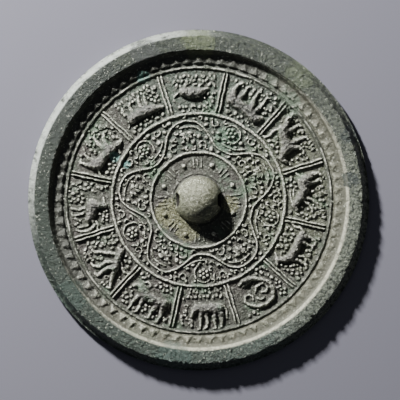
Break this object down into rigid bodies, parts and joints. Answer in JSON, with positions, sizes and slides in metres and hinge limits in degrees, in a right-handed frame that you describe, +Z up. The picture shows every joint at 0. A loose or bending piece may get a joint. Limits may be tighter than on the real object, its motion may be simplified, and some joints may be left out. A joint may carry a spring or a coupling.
{
  "type": "ancient bronze mirror",
  "caption": "Round cast bronze mirror lying face down, its back with a pierced knob, a vine, animals in panels, saw teeth and a raised rim.",
  "frame": {"origin": "middle of the polished face on the underside, where the mirror rests", "axes": "+Z up along the disc's axis out of the decorated back, +X along the cord hole of the knob, +Y towards the rat's panel"},
  "size_m": [0.165, 0.165, 0.0135],
  "materials": {
    "patinated_bronze": "old cast bronze under a dull grey-green patina"
  },
  "bodies": {
    "root": {"mirror": "patinated_bronze"}
  },
  "joints": []
}
